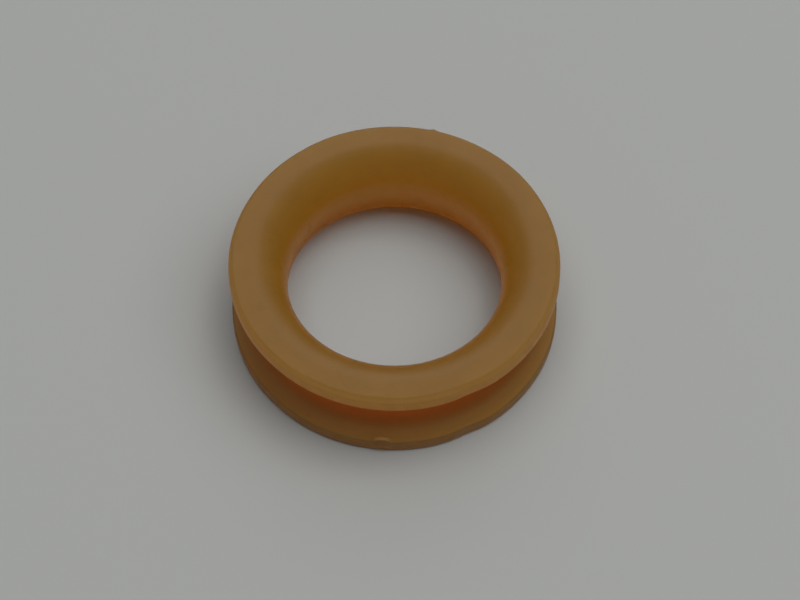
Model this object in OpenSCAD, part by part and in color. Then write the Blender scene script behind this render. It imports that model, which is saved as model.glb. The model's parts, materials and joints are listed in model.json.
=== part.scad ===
// Shifter bushing: one moulded ring of soft translucent polyurethane.
// The bore slips over a linkage pin, and the lever's eye snaps into the groove round the outside.
// The axis is Z, the lower end face lies on Z = 0, and the clipped gate faces -Y.

/* [Ring] */
// Outer diameter over the two rims
outer_d = 18.4; // [17.6:0.1:22]
// Height from one end face to the other
height = 5.3; // [5:0.1:7]

/* [Bore] */
// Diameter of the straight land that turns on the pin
bore_d = 12; // [9:0.1:12.6]
// Radius of the mouth that flares the bore into each end face
mouth_r = 2.05; // [0.5:0.05:2.2]

/* [Groove] */
// Thickness of each rim at its outer wall
rim_t = 0.9; // [0.6:0.05:1.3]
// How much of the wall between the bore and the rims the round groove takes
groove_depth_share = 0.44; // [0.25:0.01:0.5]

/* [Edges] */
// Rounding where a rim's wall meets the end face
rim_edge_r = 0.3; // [0.05:0.01:0.35]
// Rounding where a rim's wall meets the groove
groove_edge_r = 0.12; // [0.04:0.01:0.2]

/* [Gate stub] */
// Width of the clipped gate on the lower rim
gate_w = 1.1; // [0.8:0.05:1.6]
// Height of the gate's round crown above the lower end face
gate_h = 1.1; // [0.9:0.05:1.2]
// How far the clipped face stands proud of the rim
gate_proud = 0.12; // [0.05:0.01:0.4]
// How deep the gate's root reaches into the rim
gate_root = 0.7; // [0.4:0.05:1]

/* [Hidden] */
$fn = 96;

// Room by which a cut runs past the face that it opens
overrun = 0.5;

outer_r = outer_d / 2;
bore_r = bore_d / 2;
wall_t = outer_r - bore_r;
mid_z = height / 2;

// A mouth leaves at least a narrow flat band on a thin wall's end face
mouth_fit_r = min(mouth_r, wall_t - 2 * rim_edge_r);

// The groove is an arc through the two rims' inner corners and its root
groove_depth = groove_depth_share * wall_t;
groove_half_w = mid_z - rim_t;
groove_r = (groove_half_w ^ 2 + groove_depth ^ 2) / (2 * groove_depth);
groove_x = outer_r - groove_depth + groove_r;

// Each lip's rounding touches the rim's wall and the groove's arc
lip_x = outer_r - groove_edge_r;
lip_rise = sqrt((groove_r + groove_edge_r) ^ 2 - (groove_x - lip_x) ^ 2);

// The gate is a flat-sided tab with a half-round crown
gate_r = gate_w / 2;
gate_crown_z = gate_h - gate_r;

// Copies a half section to the other side of the mid plane
module both_sides() {
    children();
    translate([0, height]) mirror([0, 1]) children();
}

// What a rounding of radius r takes off a corner at the origin, the material being at +X +Y
module corner_cut(r) {
    difference() {
        translate([-overrun, -overrun]) square(r + overrun);
        translate([r, r]) circle(r);
    }
}

// The rounding of one lip, between the rim's wall and the groove
module lip_cut() {
    far_x = max(outer_r, groove_x) + overrun;
    lip_z = mid_z - lip_rise;
    difference() {
        polygon([[lip_x, lip_z], [far_x, lip_z], [far_x, mid_z], [groove_x, mid_z]]);
        translate([lip_x, lip_z]) circle(groove_edge_r);
    }
}

// Half of the ring's cross section, from the bore to the rims
module ring_section() {
    difference() {
        translate([bore_r, 0]) square([outer_r - bore_r, height]);
        translate([groove_x, mid_z]) circle(groove_r);
        both_sides() {
            translate([bore_r, 0]) corner_cut(mouth_fit_r);
            translate([outer_r, 0]) mirror([1, 0]) corner_cut(rim_edge_r);
            lip_cut();
        }
    }
}

// The gate's outline on the rim, cut level above the lower edge's rounding
module gate_section() {
    intersection() {
        union() {
            translate([0, gate_crown_z]) circle(gate_r);
            translate([-gate_r, 0]) square([gate_w, gate_crown_z]);
        }
        translate([-gate_w, rim_edge_r]) square([2 * gate_w, gate_h]);
    }
}

// The stub left where the gate was clipped off
module gate_stub() {
    translate([0, gate_root - outer_r, 0])
        rotate([90, 0, 0])
            linear_extrude(gate_root + gate_proud) gate_section();
}

// The whole ring, moulded in one piece
module bushing() {
    color("#9a7238") {
        rotate_extrude() ring_section();
        gate_stub();
    }
}

bushing();
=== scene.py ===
import json
import math

import bpy
import numpy as np
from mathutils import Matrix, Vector


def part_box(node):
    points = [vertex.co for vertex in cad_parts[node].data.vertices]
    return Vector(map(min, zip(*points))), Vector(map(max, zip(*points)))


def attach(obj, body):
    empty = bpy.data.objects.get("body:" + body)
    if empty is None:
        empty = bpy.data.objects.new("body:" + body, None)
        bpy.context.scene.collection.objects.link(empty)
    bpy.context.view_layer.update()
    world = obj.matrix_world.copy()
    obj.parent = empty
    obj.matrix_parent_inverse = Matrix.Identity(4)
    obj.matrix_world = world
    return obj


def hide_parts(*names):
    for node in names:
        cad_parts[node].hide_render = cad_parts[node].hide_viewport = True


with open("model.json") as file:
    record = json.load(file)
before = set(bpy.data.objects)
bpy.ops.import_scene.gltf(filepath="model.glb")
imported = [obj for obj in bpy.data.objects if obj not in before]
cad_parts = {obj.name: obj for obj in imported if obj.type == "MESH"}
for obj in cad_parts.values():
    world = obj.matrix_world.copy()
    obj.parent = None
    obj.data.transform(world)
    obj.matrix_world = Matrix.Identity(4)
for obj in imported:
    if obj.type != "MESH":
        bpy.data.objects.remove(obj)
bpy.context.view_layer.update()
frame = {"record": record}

# The ring: one shot of soft, translucent amber polyurethane, moulded round a waisted core.
# Its bore flares into both end faces, and a round groove runs between two thin rims.
# The gate was clipped off the lower rim by hand and left a low half-round stub.
mm = 0.001
mounts = {mount["name"]: mount for mount in frame["record"]["mounts"]}
ring_low, ring_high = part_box("bushing")
height = ring_high.z
mid_z = height / 2
outer_r = ring_high.x
bore_r = mounts["bore"]["dims"]["r_mm"] * mm
mouth_r = (height - mounts["bore"]["dims"]["length_mm"] * mm) / 2
lower_mouth_h = 2.7 * mm
rim_edge_r = 0.3 * mm
lip_r = 0.12 * mm

# The groove is an arc through the rims' inner corners and its root, and each lip's rounding touches it
groove_half_w = mounts["groove"]["dims"]["length_mm"] * mm / 2
groove_depth = outer_r - mounts["groove"]["dims"]["r_mm"] * mm
groove_r = (groove_half_w ** 2 + groove_depth ** 2) / (2 * groove_depth)
groove_x = outer_r - groove_depth + groove_r
lip_x = outer_r - lip_r
lip_rise = math.sqrt((groove_r + lip_r) ** 2 - (groove_x - lip_x) ** 2)
lip_turn = math.degrees(math.atan2(lip_rise, groove_x - lip_x))
flank_turn = 160 + lip_turn
upper_lip_z = mid_z + lip_rise
lower_lip_z = mid_z - lip_rise


def arc(centre_x, centre_z, radius, start, end, steps):
    """Points along an arc of the section, without its last one. Angles are in degrees."""
    turns = np.radians(np.linspace(start, end, steps, endpoint=False))
    return np.stack([centre_x + radius * np.cos(turns), centre_z + radius * np.sin(turns)], 1)


def straight(start, end, steps):
    """Points along a straight stretch of the section, without its last one."""
    share = np.linspace(0, 1, steps, endpoint=False)[:, None]
    return np.array(start) * (1 - share) + np.array(end) * share


def ease(value, low, high):
    """0 at low and before it, 1 at high and past it, and a smooth rise between them."""
    share = np.clip((value - low) / (high - low), 0, 1)
    return share * share * (3 - 2 * share)


# The section runs up the bore, over the upper face, down the outside and back under.
# The lower mouth is taller than the upper one, so its arc is stretched
mouth_x = bore_r + mouth_r
edge_x = outer_r - rim_edge_r
runs = {
    "bore": straight((bore_r, lower_mouth_h), (bore_r, height - mouth_r), 8),
    "upper_mouth": arc(mouth_x, height - mouth_r, mouth_r, 180, 90, 24),
    "upper_face": straight((mouth_x, height), (edge_x, height), 8),
    "upper_edge": arc(edge_x, height - rim_edge_r, rim_edge_r, 90, 0, 10),
    "upper_wall": straight((outer_r, height - rim_edge_r), (outer_r, upper_lip_z), 6),
    "upper_lip": arc(lip_x, upper_lip_z, lip_r, 0, -lip_turn, 6),
    "groove": arc(groove_x, mid_z, groove_r, 180 - lip_turn, flank_turn, 44),
    "lower_flank": arc(groove_x, mid_z, groove_r, flank_turn, 180 + lip_turn, 28),
    "lower_lip": arc(lip_x, lower_lip_z, lip_r, lip_turn, 0, 10),
    "lower_wall": straight((outer_r, lower_lip_z), (outer_r, rim_edge_r), 14),
    "lower_edge": arc(edge_x, rim_edge_r, rim_edge_r, 0, -90, 8),
    "under_face": straight((edge_x, 0), (mouth_x, 0), 8),
    "lower_mouth": arc(mouth_x, mouth_r, mouth_r, 270, 180, 24) * (1, lower_mouth_h / mouth_r),
}
section = np.concatenate(list(runs.values()))
run = np.repeat(list(runs), [len(stretch) for stretch in runs.values()])

# Where a point lies: on the groove's flanks or deep in it, on a rim or on its rounded edge,
# low in the bore, or under the ring. The surface is dull in the groove and low in the bore
at_r, at_z = section.T
from_root = at_r - (outer_r - groove_depth)
from_end = np.minimum(at_z, height - at_z)
in_groove = np.isin(run, ["groove", "lower_flank"])
in_lower_bore = np.isin(run, ["bore", "lower_mouth"])
on_lip = np.isin(run, ["upper_lip", "lower_lip"])
on_side = ~np.isin(run, ["bore", "upper_mouth", "upper_face", "under_face", "lower_mouth"])
# flank: the groove's lower flank and the lips, whose colour is lightened as painted light
flank = np.where(on_lip, 1.0, in_groove * ease(from_root, 0.15 * mm, 0.95 * mm))
# groove: deep in the groove, where painted shade darkens and reddens the colour
groove = in_groove * ease(from_root, 0.85 * mm, 0.02 * mm)
# rim: the rim walls, where a paler, bluer tone is painted sheen
rim = (on_side & ~in_groove) * ease(from_end, 0.05 * rim_edge_r, 0.3 * rim_edge_r)
rim = np.where(on_lip, ease(at_r, outer_r - lip_r, outer_r), rim)
# edge: the rims' rounded edges, where a paler, bluer tone is painted sheen
edge = on_side * ease(from_end, 0, 0.15 * rim_edge_r) * ease(from_end, rim_edge_r, 0.3 * rim_edge_r)
# throat: low in the bore, where the wall is painted darker and redder as shade
throat = in_lower_bore * ease(at_z, 2.9 * mm, 1.6 * mm)
under = (run == "lower_mouth") * ease(at_z, 1.1 * mm, 0.1 * mm)
under = np.where(run == "under_face", ease(at_r, edge_x, mouth_x), under)
dull = np.maximum(0.65 * groove, in_lower_bore * ease(at_z, 3.1 * mm, 1.8 * mm))

# Turns round the axis, measured from the gate at -Y, and closer together near it
spacing = np.concatenate([np.full(40, 0.25), np.full(24, 0.5), np.linspace(0.5, 1.0, 20), np.full(143, 1.0)])
half_turn = np.radians(np.concatenate([[0], np.cumsum(spacing)]) * 180 / spacing.sum())
turns = np.concatenate([-half_turn[:0:-1], half_turn[:-1]])
turn = np.repeat(turns[:, None], len(section), 1)
radius = np.repeat(at_r[None, :], len(turns), 0)
level = np.repeat(at_z[None, :], len(turns), 0)

# The soft ring isn't quite round: both rims run a little flat at one place beside the gate
dent_turn, dent_span, dent_depth = math.radians(30), math.radians(5.5), 0.08 * mm
dent = dent_depth * np.exp(-((turn - dent_turn) / dent_span) ** 2)
sway_r = 0.012 * mm
sway = sway_r * (np.sin(2 * turn + 0.7) + 0.6 * np.sin(5 * turn + 2.1) + 0.4 * np.sin(11 * turn + 0.3))
radius = radius + (sway - dent) * ease(radius, outer_r - 0.45 * mm, outer_r - 0.05 * mm)

# A burr of flash on the far side of the upper rim
burr_turn, burr_span, burr_proud = math.radians(169.7), math.radians(0.9), 0.12 * mm
burr = burr_proud * np.exp(-((turn - burr_turn) / burr_span) ** 2)
burr = burr * ease(radius, outer_r - 0.3 * mm, outer_r)
radius = radius + burr * ease(level, height - 0.6 * mm, height - 0.3 * mm)

# The clipped gate: a thin half-round lip stands up from the lower rim over a bulged, torn face
gate_w = 1.15 * mm
gate_x = -0.08 * mm
gate_top_z = 1.24 * mm
gate_proud = -ring_low.y - outer_r
crest_r = outer_r - 0.14 * mm
crest_t = 0.12 * mm
crest_drop = 0.03 * mm
back_run = 0.14 * mm
near = np.abs(turns) < math.pi / 2
across = np.abs(outer_r * np.sin(turns) - gate_x)
arch = np.where(near, np.sqrt(np.clip(1 - (2 * across / gate_w) ** 2, 0, 1)), 0)[:, None]
gate = np.where(near, ease(across, gate_w / 2, 0.75 * gate_w / 2), 0)[:, None]
gate_face = np.where(near, ease(across, gate_w / 2, 0.25 * gate_w / 2), 0)[:, None]
top_z = lower_lip_z + (gate_top_z - lower_lip_z) * arch
clipped = np.zeros_like(radius)
# crown: where a pale painted highlight lies on the gate lip's back, crest and the top of its torn face
crown = np.zeros_like(radius)


def bend(rows, to_r, to_z, blend):
    """Moves rows of the section to a level and to a flat plane at a distance from the axis."""
    radius[:, rows] += blend * (to_r / np.cos(turns)[:, None] - radius[:, rows])
    level[:, rows] += blend * (to_z - level[:, rows])


# Up the back of the lip
rows = np.flatnonzero((run == "lower_flank") & (at_r > crest_r - back_run))
share = np.linspace(0, 1, len(rows), endpoint=False)
foot_r, foot_z = section[rows[0]]
bend(rows, foot_r + (crest_r - foot_r) * share, foot_z + (top_z - foot_z) * np.sin(share * math.pi / 2), gate)
crown[:, rows] = gate * arch * share ** 3

# Over its crest
rows = np.flatnonzero(run == "lower_lip")
share = np.linspace(0, 1, len(rows), endpoint=False)
bend(rows, crest_r + crest_t * share, top_z - crest_drop * share ** 2, gate)
crown[:, rows] = gate * arch

# Down the torn face, which bulges out and runs back into the rim's lower edge
rows = np.flatnonzero(run == "lower_wall")
share = np.linspace(0, 1, len(rows))
bulge = outer_r + gate_proud - crest_r - crest_t
to_r = crest_r + crest_t + bulge * ease(share, 0, 0.5) - gate_proud * ease(share, 0.55, 1)
to_z = rim_edge_r + (top_z - crest_drop - rim_edge_r) * (1 - share)
bend(rows, to_r, to_z, gate + (gate_face - gate) * ease(share, 0, 0.4))
crown[:, rows] = gate * arch * ease(share, 0.12, 0)
clipped[:, rows] = gate_face * ease(share, 0, 0.2) * ease(share, 1, 0.8)

# Points and quads of the turned ring, which keeps the shares with its points
points = np.stack([radius * np.sin(turn), -radius * np.cos(turn), level], 2).reshape(-1, 3)
count = len(section)
row = np.arange(len(turns))[:, None] * count
column = np.arange(count)[None, :]
next_row = (row + count) % (len(turns) * count)
next_column = (column + 1) % count
quads = np.stack([row + column, row + next_column, next_row + next_column, next_row + column], 2)
ring_mesh = bpy.data.meshes.new("moulded_ring")
ring_mesh.from_pydata(points.tolist(), [], quads.reshape(-1, 4).tolist())
ring_mesh.shade_smooth()
shares = {"flank": flank, "groove": groove, "rim": rim, "edge": edge, "throat": throat, "under": under,
          "dull": dull, "clipped": clipped, "crown": crown}
for name, share in shares.items():
    values = np.broadcast_to(share, radius.shape).astype(np.float32).ravel()
    ring_mesh.attributes.new(name, "FLOAT", "POINT").data.foreach_set("value", values)
ring_mesh.update()
ring = bpy.data.objects.new("moulded_ring", ring_mesh)
bpy.context.scene.collection.objects.link(ring)

amber = bpy.data.materials.new("amber_urethane")
amber.use_nodes = True
nodes = amber.node_tree.nodes
links = amber.node_tree.links
skin = nodes["Principled BSDF"]
place = nodes.new("ShaderNodeTexCoord")
wall = nodes.new("ShaderNodeNewGeometry")


def noise(scale, detail):
    """Noise over the object, with its scale in features to the metre."""
    node = nodes.new("ShaderNodeTexNoise")
    node.inputs["Scale"].default_value = scale
    node.inputs["Detail"].default_value = detail
    links.new(place.outputs["Object"], node.inputs["Vector"])
    return node.outputs["Fac"]


def share_of(name):
    """One of the shares kept with the ring's points."""
    node = nodes.new("ShaderNodeAttribute")
    node.attribute_name = name
    return node.outputs["Fac"]


def tinted(share, low, high):
    """A colour between two others. Each is a colour or an output."""
    node = nodes.new("ShaderNodeMix")
    node.data_type = "RGBA"
    links.new(share, node.inputs["Factor"])
    for socket, value in ((node.inputs[6], low), (node.inputs[7], high)):
        if isinstance(value, tuple):
            socket.default_value = (*value, 1)
        else:
            links.new(value, socket)
    return node.outputs[2]


def ranged(value, low, high, to_low, to_high):
    """A value moved from one range to another."""
    node = nodes.new("ShaderNodeMapRange")
    links.new(value, node.inputs["Value"])
    for socket, number in zip(node.inputs[1:5], (low, high, to_low, to_high)):
        socket.default_value = number
    return node.outputs["Result"]


# The pour is a little cloudy. A paler, bluer tone on the rims and their rounded edges is painted sheen, and
# the gate lip's crest has a painted highlight.
# Painted light lightens the groove's lower flank, and painted shade darkens and reddens deep in the groove
# and low in the bore. The torn face of the gate has a tone of its own. Inside the ring, what light there is
# goes on scattering
groove_share = share_of("groove")
rim_share = share_of("rim")
edge_share = share_of("edge")
throat_share = share_of("throat")
under_share = share_of("under")
cloud = ranged(noise(420, 3), 0.35, 0.65, 0, 1)
face_tone = tinted(cloud, (0.086, 0.080, 0.005), (0.112, 0.096, 0.008))
# Painted light: the groove's lower flank and the lips are lighter
flank_painted_light_tone = tinted(share_of("flank"), face_tone, (0.252, 0.173, 0.042))
# Painted sheen: a paler, bluer tone on the rim walls
rim_painted_sheen_tone = tinted(rim_share, flank_painted_light_tone, (0.119, 0.114, 0.032))
# Painted sheen: a paler, bluer tone on the rims' rounded edges
edge_painted_sheen_tone = tinted(edge_share, rim_painted_sheen_tone, (0.151, 0.138, 0.060))
# Painted shade: darker and redder deep in the groove
groove_painted_shade_tone = tinted(groove_share, edge_painted_sheen_tone, (0.120, 0.047, 0.001))
# Painted shade: darker and redder low in the bore
throat_painted_shade_tone = tinted(throat_share, groove_painted_shade_tone, (0.064, 0.042, 0.002))
cut_tone = tinted(share_of("clipped"), throat_painted_shade_tone, (0.140, 0.088, 0.012))
# Painted highlight: a pale tone on the gate lip's crest
outside_tone = tinted(share_of("crown"), cut_tone, (0.42, 0.30, 0.12))
inside_tone = (0.97, 0.68, 0.20)
links.new(tinted(wall.outputs["Backfacing"], outside_tone, inside_tone), skin.inputs["Base Color"])

# The satin of the mould: a broad sheen over a tighter one that shows where the wall is seen flat
links.new(ranged(noise(900, 2), 0.3, 0.7, 0.265, 0.295), skin.inputs["Roughness"])
skin.inputs["Specular IOR Level"].default_value = 0.2
links.new(ranged(share_of("dull"), 0, 1, 1, 0), skin.inputs["Coat Weight"])
skin.inputs["Coat Roughness"].default_value = 0.52
skin.inputs["Coat IOR"].default_value = 1.79
grain = nodes.new("ShaderNodeBump")
grain.inputs["Strength"].default_value = 0.25
grain.inputs["Distance"].default_value = 0.008 * mm
links.new(noise(7000, 2), grain.inputs["Height"])
links.new(grain.outputs["Normal"], skin.inputs["Normal"])

# Light that goes into the ring comes out of it again all round, more orange where the groove is deep, darker
# and redder low in the bore as painted shade, and most freely under the ring
glow = nodes.new("ShaderNodeBsdfTranslucent")
side_glow = tinted(rim_share, (0.79, 0.52, 0.10), (0.61, 0.41, 0.08))
edge_glow = tinted(edge_share, side_glow, (0.75, 0.50, 0.10))
deep_glow = tinted(groove_share, edge_glow, (0.91, 0.37, 0.025))
# Painted shade: less light comes out low in the bore
throat_shade_glow = tinted(throat_share, deep_glow, (0.75, 0.42, 0.04))
links.new(tinted(under_share, throat_shade_glow, (1.0, 0.56, 0.12)), glow.inputs["Color"])
body = nodes.new("ShaderNodeMixShader")
links.new(ranged(under_share, 0, 1, 0.55, 0.95), body.inputs["Fac"])
links.new(skin.outputs["BSDF"], body.inputs[1])
links.new(glow.outputs["BSDF"], body.inputs[2])
links.new(body.outputs["Shader"], nodes["Material Output"].inputs["Surface"])
ring.data.materials.append(amber)
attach(ring, "root")
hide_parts("bushing")

# The floor: a plain pale sheet, matt and wide enough to fill the picture.
# The ring lies loose on it with its lower end face down.
floor_half_w = 0.6
floor_z = -0.02 * mm
corners = [(x * floor_half_w, y * floor_half_w, floor_z) for x, y in ((-1, -1), (1, -1), (1, 1), (-1, 1))]
floor_mesh = bpy.data.meshes.new("floor")
floor_mesh.from_pydata(corners, [], [(0, 1, 2, 3)])
floor = bpy.data.objects.new("floor", floor_mesh)
bpy.context.scene.collection.objects.link(floor)
paper = bpy.data.materials.new("pale_sheet")
paper.use_nodes = True
sheet = paper.node_tree.nodes["Principled BSDF"]
sheet.inputs["Base Color"].default_value = (0.343, 0.350, 0.340, 1)
sheet.inputs["Roughness"].default_value = 0.9
sheet.inputs["Specular IOR Level"].default_value = 0.1
floor.data.materials.append(paper)

# The light: a plain soft studio with grey walls all round.
# Three wide boxes, overhead, to the right and on the far side, only fill.
# A card on the far side gives the ring its sheen and no fill.
world = bpy.data.worlds.new("grey_room")
bpy.context.scene.world = world
world.use_nodes = True
room = world.node_tree.nodes["Background"]
room.inputs["Color"].default_value = (1, 1, 1, 1)
room.inputs["Strength"].default_value = 0.18
box_away = 0.6
box_w = 0.5


def soft_box(name, tilt, turn, power, sheen):
    """A square box of light that faces the ring. Angles are in degrees, turn from the right."""
    lamp = bpy.data.lights.new(name, "AREA")
    lamp.shape = "SQUARE"
    lamp.size = box_w
    lamp.energy = power
    box = bpy.data.objects.new(name, lamp)
    bpy.context.scene.collection.objects.link(box)
    tilt, turn = math.radians(tilt), math.radians(turn)
    level_away = box_away * math.cos(tilt)
    box.location = (level_away * math.cos(turn), level_away * math.sin(turn), box_away * math.sin(tilt))
    box.rotation_euler = (-box.location).to_track_quat("-Z", "Y").to_euler()
    box.visible_glossy = sheen
    box.visible_diffuse = not sheen


soft_box("overhead_box", 90, 0, 1.75, False)
soft_box("right_box", 60, 0, 1.53, False)
soft_box("far_box", 45, 90, 0.78, False)
soft_box("sheen_card", 45, 90, 1.2, True)

# The camera: a close-up from in front of the ring and well above it.
# It stands a little to the right of the gate, with a long lens that keeps the perspective weak.
view_turn = math.radians(3.9)
view_tilt = math.radians(57.4)
view_away = 143.7 * mm
aim_right = 0.306 * mm
aim_down = 2.28 * mm
focal_px = 2600
image_w_px = 800
camera_data = bpy.data.cameras.new("camera")
camera_data.sensor_width = 36
camera_data.lens = focal_px * camera_data.sensor_width / image_w_px
camera_data.clip_start = 0.001
camera = bpy.data.objects.new("camera", camera_data)
bpy.context.scene.collection.objects.link(camera)
right = Vector((math.cos(view_turn), math.sin(view_turn), 0))
ahead = Vector((math.sin(view_turn), -math.cos(view_turn), 0))
towards = ahead * math.cos(view_tilt) + Vector((0, 0, math.sin(view_tilt)))
up = towards.cross(right)
aim = Vector((0, 0, height)) + aim_right * right - aim_down * up
camera.location = aim + view_away * towards
camera.rotation_euler = (-towards).to_track_quat("-Z", "Y").to_euler()
bpy.context.scene.camera = camera
bpy.context.scene.view_settings.view_transform = "Standard"
